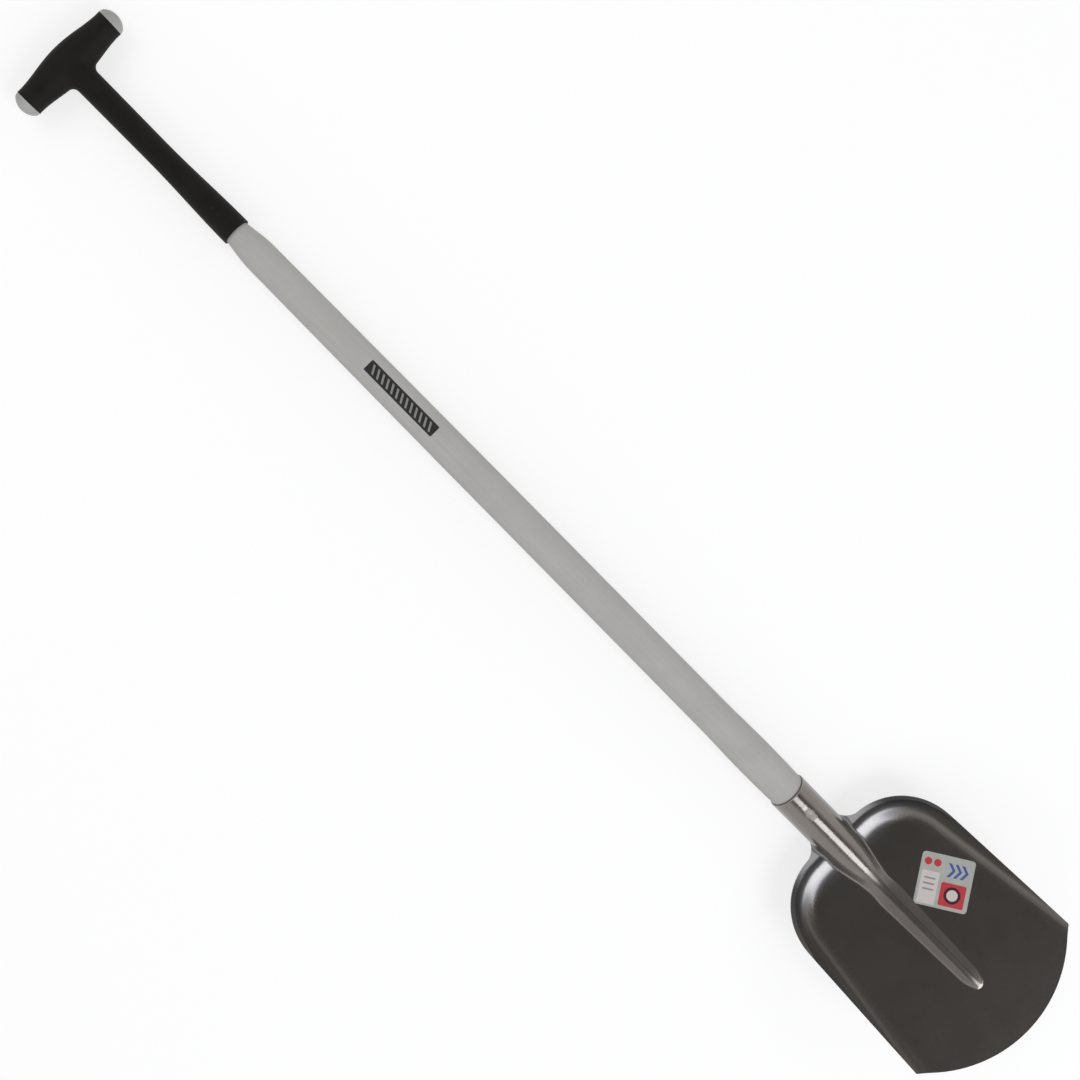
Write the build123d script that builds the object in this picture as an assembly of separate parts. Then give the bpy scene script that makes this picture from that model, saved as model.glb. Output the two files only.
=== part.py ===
"""Long-handled round-shouldered shovel with a T-grip, lying on its back with the front of the blade up.

Millimetres, +X from the grip to the tip of the blade, +Z up, origin on the floor under the middle of the
tool. The blade is drawn in its own frame (x along the flat, z out of its front), everything else along the
shaft's axis with the mouth of the socket at x = 0. The finished tool is then laid on its socket and its grip.
"""
import os
from math import asin, atan2, cos, degrees, pi, radians, sin, sqrt, tan

from build123d import *

# Blade plan
sheet = 2.0
blade_length = 297.5
shoulder_width = 211.5
side_spread = 15.0
corner_setback = 50.5
corner_radius = 2.0
shoulder_gap = 12.0
shoulder_end = 80.5
neck_radius = 20.0

# Turned-up rim round the shoulders, narrowing along the sides towards the corners, and its lip folded over
rim_height = 6.0
rim_angle = 26.0
rim_lip = 1.0
rim_bend = 28.0
rim_roll = 14.0
rim_end = 8.0
fold_reach = 5.0
fold_angle = 30.0
fold_roll = 9.0
fold_turn = 17.0
fold_drop = 14.0

# Rolled socket, and the ridge that runs on from it down the blade
lift = 15.0
socket_diameter = 43.2
socket_taper = 0.1
socket_length = 64.8
socket_rise = 5.2
mouth_round = 1.0
seam_gap = 1.5
heel_slant = 52.0
heel_top = -2.0
web_start = -3.0
ridge_start = 20.0
ridge_settled = 100.0
ridge_radius = 9.0
ridge_slope = 22.0
ridge_flank = 22.0
ridge_height = 5.8
ridge_end_height = 4.1
ridge_length = 231.0
ridge_nose = 24.0
ridge_sink = 0.8
ridge_deep = 8.0
ridge_blend = 5.0
crest_blend = 3.0
tube_slope = 60.0
ridge_bow = 400.0
nose_turns = (20.0, 38.0, 54.0, 68.0, 80.0, 90.0)

# Ash shaft
shaft_length = 785.0
shaft_top_diameter = 32.0
shaft_middle_diameter = 35.9
shaft_middle = 483.0
shaft_low_diameter = 38.7
swell_ramp = 67.0
swell_diameter = 41.4
swell_length = 52.0
seat_diameter = 40.0
seat_length = 1.0
neck_diameter = 25.0
neck_length = 30.0
neck_slope = 0.1
wedge_reach = 60.0
wedge_angle = 14.0
tenon_length = 150.0
tenon_end_diameter = 17.0
wood_fit = 0.1

# Moulded grip and its end caps
bar_width = 119.5
bar_end_diameter = 24.0
bar_height = 32.4
bar_depth = 28.0
bar_core = 15.0
cap_rim = 3.5
cap_edge_diameter = 22.4
cap_dome = 6.0
cap_spigot = 14.0
cap_fit = 0.05
stem_length = 199.0
stem_diameter = 24.3
stem_waist = 23.8
sleeve_diameter = 28.9
sleeve_flare = 95.0
stem_blend = 7.0
bore_relief = 2.0

# Nail through the socket, pin through the sleeve
nail_place = 27.0
nail_shank = 5.0
nail_length = 32.0
nail_point = 5.0
nail_head = 10.0
nail_sink = 2.0
nail_edge = 0.8
pin_place = 27.0
pin_diameter = 4.0
pin_recess = 0.5
fastener_fit = 0.05

# Label on the front of the blade
label_side = 57.0
label_corner = 4.0
label_thickness = 0.25
label_along = 128.4
label_across = 51.0
label_turn = 33.0

# Spacing of the rings the horn is drawn through, room that the cutting shapes run past the metal,
# and the width of a match in the edge searches
ring_spacing = 11.0
spare = 20.0
near = 0.01

socket_radius = socket_diameter / 2
mouth_along = -socket_length * cos(radians(lift))
mouth_rise = socket_rise + socket_length * sin(radians(lift))
corner_width = shoulder_width + side_spread
corner_along = blade_length - corner_setback
side_turn = atan2(side_spread / 2, corner_along - shoulder_end)
shoulder_flat = socket_radius + shoulder_gap
shoulder_radius = (shoulder_width / 2 - shoulder_flat) / cos(side_turn)
shoulder_centre = (shoulder_end + shoulder_radius * sin(side_turn), shoulder_flat)
block_end = blade_length + spare
block_half = corner_width / 2 + 3 * spare
block_deep = 3 * spare
bar_axis = -shaft_length - stem_length
bar_half = bar_width / 2 - cap_rim - cap_dome
sleeve_end = -shaft_length
blade_seat = Rot(0, -lift, 0) * Pos(-mouth_along, 0, -mouth_rise)


def both_sides(edges):
    """Face bounded by the given edges and their mirror image across the tool's middle plane."""
    return make_face([*edges, *[mirror(edge, about=Plane.XZ).edge() for edge in edges]])


def blade_outline():
    """Plan of the cut edge: neck under the socket, hollow neck curves, round shoulders, sides and tip."""
    neck_half = socket_radius - sheet
    across = neck_half + neck_radius - shoulder_centre[1]
    reach = shoulder_radius + neck_radius
    along = sqrt(reach**2 - across**2)
    neck_end = (shoulder_centre[0] - along, neck_half)
    share = shoulder_radius / reach
    meeting = (shoulder_centre[0] - along * share, shoulder_centre[1] + across * share)
    shoulder_top = (shoulder_end, shoulder_width / 2)
    corner = (corner_along, corner_width / 2)
    outline = both_sides([
        Line((neck_end[0], 0), neck_end),
        TangentArc(neck_end, meeting, tangent=(1, 0)),
        TangentArc(shoulder_top, meeting, tangent=(-cos(side_turn), -sin(side_turn))),
        Line(shoulder_top, corner),
        TangentArc((blade_length, 0), corner, tangent=(0, 1)),
    ])
    corners = outline.vertices().filter_by_position(Axis.X, corner[0] - near, corner[0] + near)
    return fillet(corners, corner_radius)


def fold_plan(depth):
    """Plan inside the line where the lip folds over, which leaves the cut edge behind along the sides."""
    turn = radians(fold_turn)
    radius = shoulder_radius - fold_reach - depth * tan(radians(fold_angle / 2))
    top = shoulder_centre[0] - radius
    side = shoulder_centre[1] + radius * (1 - sin(turn)) / cos(turn)
    far = block_end + spare
    wide = side + (far - top) * tan(turn)
    plan = both_sides(Polyline((top, 0), (top, side), (far, wide), (far, 0)).edges())
    turns = plan.vertices().filter_by_position(Axis.X, top - near, top + near)
    return fillet([corner for corner in turns if abs(corner.Y) > near], radius)


def pan_floor(depth):
    """Plan of the flat of the pan, depth behind the front skin, running off past the tip."""
    half_angle = radians(rim_angle / 2)
    foot = fold_reach + fold_roll * tan(radians(fold_angle / 2)) + rim_lip
    foot += rim_roll * tan(half_angle) + rim_height / tan(radians(rim_angle))
    foot -= depth * tan(half_angle)
    end = rim_end - depth * tan(half_angle)
    side = shoulder_width / 2 - foot
    slope = (corner_width / 2 - end - side) / (corner_along - shoulder_end)
    top = shoulder_centre[0] - shoulder_radius + foot
    far = block_end + spare
    turn = (top, side + (top - shoulder_end) * slope)
    floor = both_sides(Polyline((top, 0), turn, (far, side + (far - shoulder_end) * slope), (far, 0)).edges())
    turns = floor.vertices().filter_by_position(Axis.X, top - near, top + near)
    turns = [corner for corner in turns if abs(corner.Y) > near]
    return fillet(turns, shoulder_radius - foot)


def pan_block(depth, start):
    """Everything behind the pan's surface, from start at the web to past the tip, depth behind the front."""
    lip = rim_height - depth
    corners = [(start, lip), (block_end, lip), (block_end, -block_deep), (start, -block_deep)]
    side = make_face(Polyline(*corners, close=True).edges())
    block = extrude(Plane.XZ * side, block_half, both=True)
    block -= Pos(0, 0, -depth) * extrude(pan_floor(depth), rim_height, taper=rim_angle - 90)
    bends = block.edges().filter_by_position(Axis.Z, -depth - near, -depth + near)
    bends = [edge for edge in bends if edge.center().X < block_end - near]
    block = fillet(bends, rim_bend + depth)
    rolls = block.edges().filter_by_position(Axis.Z, lip - near, lip + near)
    rolls = rolls.filter_by_position(Axis.Y, -block_half + near, block_half - near)
    rolls = [edge for edge in rolls if start + near < edge.center().X < block_end - near]
    block = fillet(rolls, rim_roll - depth)
    plan = Pos(0, 0, lip) * fold_plan(depth)
    skirt = extrude(plan, fold_drop, dir=(0, 0, -1), taper=fold_angle - 90)
    layer = Pos(0, 0, lip - fold_drop / 2) * Box(2 * block_end, 2 * block_half, fold_drop)
    block -= layer - skirt
    folds = block.edges().filter_by_position(Axis.Z, lip - near, lip + near)
    folds = [edge for edge in folds if plan.wire().distance_to(Vertex(*(edge @ 0.5))) < near]
    return fillet(folds, fold_roll - depth)


def ring(radius, slope, flank_radius, flank_turn, deep, depth):
    """Section of the horn: crest arc as far as a slope, flanks bending on from there, and a closed bottom."""
    outward = Vector(sin(slope), cos(slope))
    centre = outward * (radius - flank_radius)
    top = outward * (radius - depth)
    half = slope + flank_turn / 2
    middle = centre + Vector(sin(half), cos(half)) * (flank_radius - depth)
    end = slope + flank_turn
    low = centre + Vector(sin(end), cos(end)) * (flank_radius - depth)
    return make_face([
        ThreePointArc((-top.X, top.Y), (0, radius - depth), (top.X, top.Y)),
        ThreePointArc((top.X, top.Y), (middle.X, middle.Y), (low.X, low.Y)),
        ThreePointArc((low.X, low.Y), (0, depth - deep), (-low.X, low.Y)),
        ThreePointArc((-low.X, low.Y), (-middle.X, middle.Y), (-top.X, top.Y)),
    ])


def crest_height(along, radius, nose):
    """Height of the front crest above the pan: down the straight socket, along the ridge, over its nose."""
    tube = socket_rise + radius / cos(radians(lift)) - along * tan(radians(lift))
    last = ridge_length - ridge_nose
    share = min((along - ridge_settled) / (last - ridge_settled), 1)
    ridge = ridge_height + (ridge_end_height - ridge_height) * share
    sunk = min(max((along - last) / nose, 0), 1)
    ridge = (ridge + ridge_sink) * sqrt(1 - sunk**2) - ridge_sink
    overlap = max(1 - abs(tube - ridge) / crest_blend, 0)
    return max(tube, ridge) + overlap**2 * crest_blend / 4


def tube_radius(along):
    """Outer radius of the socket, carried on down the blade."""
    return socket_radius - (along - mouth_along) / cos(radians(lift)) * tan(radians(socket_taper))


def horn(depth):
    """Socket and ridge as one bent, tapering horn, depth behind the front skin, from just above the mouth."""
    first = mouth_along - sheet
    last = ridge_length - ridge_nose
    nose = ridge_nose - depth
    steps = round((last - first) / ring_spacing)
    stations = [first + (last - first) * step / steps for step in range(steps + 1)]
    stations += [last + nose * sin(radians(turn)) for turn in nose_turns]
    rings = []
    for along in stations:
        settle = min(max((along - ridge_start) / (ridge_settled - ridge_start), 0), 1)
        settle = settle**2 * (3 - 2 * settle)
        tilt = radians(lift) * (1 - settle)
        tube = tube_radius(along)
        radius = tube + (ridge_radius - tube) * settle
        slope = radians(tube_slope + (ridge_slope - tube_slope) * settle)
        bend = 1 / tube + (1 / ridge_bow - 1 / tube) * settle
        quarter = tube * pi / 2
        flank = quarter + (ridge_flank - quarter) * settle
        deep = tube + (ridge_deep - tube) * settle
        rise = crest_height(along + radius * sin(tilt), tube, nose) - radius * cos(tilt)
        plane = Plane((along, 0, rise), x_dir=(0, 1, 0), z_dir=(cos(tilt), 0, -sin(tilt)))
        rings.append(plane * ring(radius, slope, 1 / bend, bend * flank, deep, depth))
    return loft(rings)


def pressing(depth, start):
    """Solid behind the pressed surface, pan and horn blended into each other, depth behind the front skin."""
    block = pan_block(depth, start)
    ridge = horn(depth)
    body = block + ridge
    skin = [face for face in block.faces() if face.normal_at().Z > near]
    seams = []
    for edge in body.edges():
        middle = Vertex(*(edge @ 0.5))
        on_skin = min(face.distance_to(middle) for face in skin) < near
        if on_skin and ridge.distance_to(middle) < near:
            seams.append(edge)
    return fillet(seams, ridge_blend + depth)


def make_blade(front):
    """Pressed sheet with its rolled socket, open behind the ridge, seam at the back of the socket."""
    keep = extrude(blade_outline(), block_deep, both=True)
    tube = extrude(Circle(socket_radius + wood_fit), socket_length)
    tube = fillet(tube.edges().sort_by(Axis.Z)[0], mouth_round)
    keep += blade_seat.inverse() * Rot(0, 90, 0) * tube
    inside = web_start + sheet / 2
    blade = front & keep
    blade -= pressing(sheet, inside)
    low = heel_top - 2 * block_deep
    back = inside - 2 * block_deep * tan(radians(heel_slant))
    heel = Polyline((inside, heel_top), (inside, low), (back, low), close=True)
    blade -= extrude(Plane.XZ * make_face(heel.edges()), block_half, both=True)
    seam = Pos(0, 0, -socket_radius) * Box(2 * socket_length, seam_gap, socket_radius)
    return blade_seat * blade - seam - make_nail(fastener_fit)


def make_nail(grow):
    """Nail from the front of the socket into the wood, dressed flush, or its hole if grown by a fit."""
    top = socket_radius - nail_place * tan(radians(socket_taper))
    shank = nail_shank / 2 + grow
    head = nail_head / 2 + grow
    profile = Polyline(
        (0, top - nail_length - grow),
        (shank, top - nail_length + nail_point),
        (shank, top - nail_sink - grow),
        (head, top - nail_edge),
        (head, top + nail_edge),
        (0, top + nail_edge),
        close=True,
    )
    nail = Pos(nail_place, 0, 0) * revolve(Plane.XZ * make_face(profile.edges()), Axis.Z)
    if grow > 0:
        return nail
    return nail & Rot(0, 90, 0) * Cylinder(top, 2 * socket_length)


def make_pin(grow):
    """Pin through the sleeve and the tenon, or its hole where grown by a fit."""
    length = sleeve_diameter - 2 * pin_recess if grow == 0 else sleeve_diameter + spare
    return Pos(sleeve_end - pin_place, 0, 0) * Cylinder(pin_diameter / 2 + grow, length)


def tenon_radius(along):
    """Radius of the tapered tenon at a place along the shaft."""
    share = (sleeve_end - along) / tenon_length
    return (neck_diameter + (tenon_end_diameter - neck_diameter) * share) / 2


def make_shaft():
    """Barrelled shaft: tenon in the sleeve, long taper, swell over the socket and a wedge inside it."""
    body = Polyline(
        (sleeve_end - tenon_length, 0),
        (sleeve_end - tenon_length, tenon_end_diameter / 2),
        (sleeve_end, neck_diameter / 2),
    ).edges()
    neck_top = (sleeve_end + neck_length, shaft_top_diameter / 2)
    barrel = (-shaft_middle, shaft_middle_diameter / 2)
    ramp = (-swell_length - swell_ramp, shaft_low_diameter / 2)
    upper = (1, (barrel[1] - neck_top[1]) / (barrel[0] - neck_top[0]))
    lower = (1, (ramp[1] - barrel[1]) / (ramp[0] - barrel[0]))
    swell = (-swell_length, swell_diameter / 2)
    mouth = (-seat_length, seat_diameter / 2)
    inward = (1, 2 * (mouth[1] - swell[1]) / (mouth[0] - swell[0]))
    seat = (seat_length, 2 * (socket_radius - sheet - wood_fit) - mouth[1])
    body += Spline((sleeve_end, neck_diameter / 2), neck_top, tangents=[(1, neck_slope), upper]).edges()
    body += Spline(neck_top, barrel, ramp, tangents=[upper, lower]).edges()
    body += Spline(ramp, swell, tangents=[lower, (1, 0)]).edges()
    body += Spline(swell, mouth, tangents=[(1, 0), inward]).edges()
    body += Polyline(mouth, seat, (seat[0], 0), (sleeve_end - tenon_length, 0)).edges()
    shaft = revolve(make_face(body), Axis.X)
    wedge = split(horn(sheet + wood_fit), bisect_by=Plane.YZ.offset(wedge_reach), keep=Keep.BOTTOM)
    heel = Plane(Pos(web_start, 0, sheet - socket_radius) * Rot(0, -wedge_angle, 0))
    wedge = split(wedge, bisect_by=heel, keep=Keep.TOP)
    return shaft + blade_seat * wedge - make_nail(fastener_fit) - make_pin(fastener_fit)


def make_grip():
    """T-grip: a hollow bar, thickest in the middle, on a long stem that flares into the tenon's sleeve."""
    rings = []
    for share in (-1, -0.5, 0, 0.5, 1):
        swell = 1 - abs(share)
        height = bar_end_diameter + (bar_height - bar_end_diameter) * swell
        depth = bar_end_diameter + (bar_depth - bar_end_diameter) * swell
        ring = Circle(bar_end_diameter / 2) if swell == 0 else Ellipse(height / 2, depth / 2)
        rings.append(Pos(bar_axis, share * bar_half, 0) * Rot(-90, 0, 0) * ring)
    bar = loft(rings)
    flare = (sleeve_end - sleeve_flare, stem_waist / 2)
    rim = (sleeve_end, sleeve_diameter / 2)
    outside = Line((bar_axis, stem_diameter / 2), flare).edges()
    outside += Spline(flare, rim, tangents=[(1, 0), (1, 0)]).edges()
    outside += Polyline(rim, (sleeve_end, 0), (bar_axis, 0), (bar_axis, stem_diameter / 2)).edges()
    stem = revolve(make_face(outside), Axis.X)
    grip = bar + stem
    seams = [edge for edge in grip.edges() if bar.distance_to(Vertex(*(edge @ 0.5))) < near]
    seams = [edge for edge in seams if stem.distance_to(Vertex(*(edge @ 0.5))) < near]
    grip = fillet(seams, stem_blend)
    deep = sleeve_end - tenon_length - bore_relief
    bore = Polyline(
        (deep, 0),
        (deep, tenon_radius(deep) + wood_fit),
        (sleeve_end + near, tenon_radius(sleeve_end + near) + wood_fit),
        (sleeve_end + near, 0),
        close=True,
    )
    grip -= revolve(make_face(bore.edges()), Axis.X)
    grip -= Pos(bar_axis, 0, 0) * Rot(90, 0, 0) * Cylinder(bar_core / 2, bar_width)
    return grip - make_pin(fastener_fit)


def make_cap(side):
    """Domed plug in one end of the bar; side is 1 or -1 along Y."""
    rim = bar_half + cap_rim
    profile = Polyline(
        (0, bar_half - cap_spigot),
        (bar_core / 2 - cap_fit, bar_half - cap_spigot),
        (bar_core / 2 - cap_fit, bar_half),
        (bar_end_diameter / 2, bar_half),
        (cap_edge_diameter / 2, rim),
    ).edges()
    profile += TangentArc((0, rim + cap_dome), (cap_edge_diameter / 2, rim), tangent=(1, 0)).edges()
    profile += Line((0, rim + cap_dome), (0, bar_half - cap_spigot)).edges()
    cap = revolve(make_face(profile), Axis.Y)
    return Pos(bar_axis, 0, 0) * (cap if side > 0 else mirror(cap, about=Plane.XZ))


def make_label(front):
    """Square label stuck to the front of the blade beside the ridge, following the pressed surface."""
    square = extrude(RectangleRounded(label_side, label_side, label_corner), spare, both=True)
    film = Pos(label_along, label_across, 0) * Rot(0, 0, label_turn) * square
    film &= pressing(-label_thickness, web_start)
    return blade_seat * (film - front)


front_skin = pressing(0, web_start)
tool = {
    "blade": make_blade(front_skin),
    "shaft": make_shaft(),
    "grip": make_grip(),
    "left_cap": make_cap(1),
    "right_cap": make_cap(-1),
    "socket_nail": make_nail(0),
    "grip_pin": make_pin(0),
    "blade_label": make_label(front_skin),
}

# Lay the tool on the rim of its socket and the upper end of its shaft, over the middle of its own length
rest_turn = degrees(asin((socket_radius - shaft_top_diameter / 2) / (shaft_length - neck_length)))
laid = {name: Rot(0, -rest_turn, 0) * piece for name, piece in tool.items()}
boxes = [piece.bounding_box() for piece in laid.values()]
middle = (min(box.min.X for box in boxes) + max(box.max.X for box in boxes)) / 2
floor = min(box.min.Z for box in boxes)

os.makedirs("parts", exist_ok=True)
for name, piece in laid.items():
    export_step(Pos(-middle, 0, -floor) * piece, f"parts/{name}.step")
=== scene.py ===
"""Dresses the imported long-handled shovel with its finishes, prints, light and camera."""
import logging
import math
from dataclasses import dataclass
from enum import Enum

import bmesh
import bpy
from mathutils import Matrix, Vector


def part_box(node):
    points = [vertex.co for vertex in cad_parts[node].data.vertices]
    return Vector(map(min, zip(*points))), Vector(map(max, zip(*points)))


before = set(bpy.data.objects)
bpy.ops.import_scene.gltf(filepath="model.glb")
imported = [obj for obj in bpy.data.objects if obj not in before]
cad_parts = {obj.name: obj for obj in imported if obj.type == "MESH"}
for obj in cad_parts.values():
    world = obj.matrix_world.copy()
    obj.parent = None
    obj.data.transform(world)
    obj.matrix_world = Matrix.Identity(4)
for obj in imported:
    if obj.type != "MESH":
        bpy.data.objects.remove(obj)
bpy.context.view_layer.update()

log = logging.getLogger("shovel")

Socket = bpy.types.NodeSocket
Source = Socket | float | tuple[float, ...]
Colour = tuple[float, float, float]
Point = tuple[float, float, float]
Pair = tuple[float, float]

MM = 0.001
MILLIMETRES: Point = (MM, MM, MM)
METRES: Point = (1.0, 1.0, 1.0)
ZERO: Point = (0.0, 0.0, 0.0)
BLACK: Colour = (0.0, 0.0, 0.0)

# The part of a noise's range that a finish uses.
USUAL_NOISE: Pair = (0.3, 0.7)
WIDE_NOISE: Pair = (0.2, 0.8)

# Half the soft edge of a print, and a reach beyond the tip of the blade, in millimetres.
PRINT_EDGE = 0.15
PAST_TIP = 300.0


class Blend(Enum):
    """Ways of joining two values in a node tree."""

    ADD = "ADD"
    SUBTRACT = "SUBTRACT"
    MULTIPLY = "MULTIPLY"
    MAXIMUM = "MAXIMUM"
    GREATER = "GREATER_THAN"
    LESS = "LESS_THAN"
    ABSOLUTE = "ABSOLUTE"
    ROOT = "SQRT"
    PINGPONG = "PINGPONG"


@dataclass(frozen=True)
class Layers:
    """Layers of a noise: how many there are, and the weight of the finer ones."""

    count: float
    weight: float


def spaced(values: dict[str, Source]) -> dict[str, Source]:
    """Gives the names of inputs their spaces back in place of underscores."""
    return {name.replace("_", " "): source for name, source in values.items()}


class Graph:
    """Thin typed layer over a node tree."""

    # A mix node has sockets for each kind of data; these are the numbers of those for colours.
    MIX_FACTOR = 0
    MIX_FIRST = 6
    MIX_SECOND = 7
    MIX_RESULT = 2

    def __init__(self, tree: bpy.types.NodeTree) -> None:
        """Wraps a tree.

        Args:
            tree: The node tree to add to.
        """
        self.tree = tree

    def node(self, kind: str, **values: object) -> bpy.types.Node:
        """Adds a node and sets its own properties.

        Args:
            kind: The node's type name.
            values: Properties of the node.

        Returns:
            The new node.
        """
        made = self.tree.nodes.new(kind)
        for name, value in values.items():
            setattr(made, name, value)
        return made

    def put(self, target: Socket, source: Source) -> None:
        """Links an output to an input, or writes a plain value into it.

        Args:
            target: The input socket.
            source: An output socket, a number, a colour or a vector.
        """
        if isinstance(source, Socket):
            self.tree.links.new(source, target)
        elif isinstance(source, tuple) and target.type == "RGBA":
            target.default_value = (*source[:3], 1.0)
        else:
            target.default_value = source

    def fill(self, node: bpy.types.Node, sources: dict[str, Source]) -> None:
        """Fills inputs of a node.

        Args:
            node: The node.
            sources: Values or sockets by input name.
        """
        for name, source in sources.items():
            self.put(node.inputs[name], source)

    def math(self, how: Blend, first: Source, second: Source = 0.0) -> Socket:
        """Joins two values.

        Args:
            how: The operation.
            first: First value or socket.
            second: Second value or socket.

        Returns:
            The result's socket.
        """
        made = self.node("ShaderNodeMath", operation=how.value)
        self.put(made.inputs[0], first)
        self.put(made.inputs[1], second)
        return made.outputs[0]

    def plus(self, first: Source, second: Source) -> Socket:
        """Adds two values."""
        return self.math(Blend.ADD, first, second)

    def minus(self, first: Source, second: Source) -> Socket:
        """Takes the second value from the first."""
        return self.math(Blend.SUBTRACT, first, second)

    def larger(self, first: Source, second: Source) -> Socket:
        """Gives the larger of two values."""
        return self.math(Blend.MAXIMUM, first, second)

    def unsigned(self, value: Source) -> Socket:
        """Gives a value without its sign."""
        return self.math(Blend.ABSOLUTE, value)

    def half(self, value: Source) -> Socket:
        """Gives half a value."""
        return self.math(Blend.MULTIPLY, value, 0.5)

    def times(self, first: Source, *others: Source) -> Socket:
        """Multiplies values one after the other.

        Args:
            first: First value or socket.
            others: The other values or sockets.

        Returns:
            The product's socket.
        """
        product = first
        for other in others:
            product = self.math(Blend.MULTIPLY, product, other)
        return product

    def span(
        self, value: Source, low: Source, high: Source, start: Source = 0.0, end: Source = 1.0
    ) -> Socket:
        """Maps a value smoothly from one range to another.

        Args:
            value: The value or socket.
            low: Where the range starts.
            high: Where the range ends.
            start: Result at low.
            end: Result at high.

        Returns:
            The mapped socket.
        """
        made = self.node("ShaderNodeMapRange", interpolation_type="SMOOTHSTEP")
        ends = {"From Min": low, "From Max": high, "To Min": start, "To Max": end}
        self.fill(made, {"Value": value, **ends})
        return made.outputs["Result"]

    def fade(self, mask: Source, start: Source, end: Source) -> Socket:
        """Goes from one value, where a mask is empty, to another, where it is full."""
        return self.span(mask, 0.0, 1.0, start, end)

    def mix(self, factor: Source, first: Source, second: Source) -> Socket:
        """Mixes two colours.

        Args:
            factor: Share of the second colour.
            first: First colour or socket.
            second: Second colour or socket.

        Returns:
            The mixed colour's socket.
        """
        made = self.node("ShaderNodeMix", data_type="RGBA")
        self.put(made.inputs[self.MIX_FACTOR], factor)
        self.put(made.inputs[self.MIX_FIRST], first)
        self.put(made.inputs[self.MIX_SECOND], second)
        return made.outputs[self.MIX_RESULT]

    def place(self, origin: Point = ZERO, turn: Point = ZERO, unit: Point = METRES) -> Socket:
        """Gives the place on the object, moved, turned and in the unit that is asked for.

        Args:
            origin: The point that becomes zero.
            turn: Turn in degrees about each axis.
            unit: The unit along each axis, in metres.

        Returns:
            The vector's socket.
        """
        spot = self.node("ShaderNodeTexCoord").outputs["Object"]
        made = self.node("ShaderNodeMapping", vector_type="TEXTURE")
        turned = tuple(math.radians(angle) for angle in turn)
        self.fill(made, {"Vector": spot, "Location": origin, "Rotation": turned, "Scale": unit})
        return made.outputs["Vector"]

    def axes(self, vector: Socket) -> tuple[Socket, ...]:
        """Splits a vector.

        Args:
            vector: The vector's socket.

        Returns:
            The sockets of its three parts.
        """
        made = self.node("ShaderNodeSeparateXYZ")
        self.put(made.inputs[0], vector)
        return tuple(made.outputs)

    def join(self, *parts: Source) -> Socket:
        """Joins up to three parts to a vector.

        Args:
            parts: Values or sockets for X, Y and Z.

        Returns:
            The vector's socket.
        """
        made = self.node("ShaderNodeCombineXYZ")
        for target, source in zip(made.inputs, parts):
            self.put(target, source)
        return made.outputs["Vector"]

    def noise(self, vector: Socket, fineness: Source, layers: Layers) -> Socket:
        """Adds a noise texture.

        Args:
            vector: Where it is read.
            fineness: Its fineness.
            layers: Its layers.

        Returns:
            The noise value's socket.
        """
        made = self.node("ShaderNodeTexNoise")
        depth = {"Detail": layers.count, "Roughness": layers.weight}
        self.fill(made, {"Vector": vector, "Scale": fineness, **depth})
        return made.outputs[0]

    def group(self, tree: bpy.types.NodeTree, **values: Source) -> bpy.types.Node:
        """Places a node group.

        Args:
            tree: The group.
            values: Values or sockets for its named inputs, with spaces as underscores.

        Returns:
            The group's node.
        """
        made = self.node("ShaderNodeGroup", node_tree=tree)
        self.fill(made, spaced(values))
        return made


# A new shader group: its graph, its inputs by name and its output node.
GroupStart = tuple[Graph, dict[str, Socket], bpy.types.Node]


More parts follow.
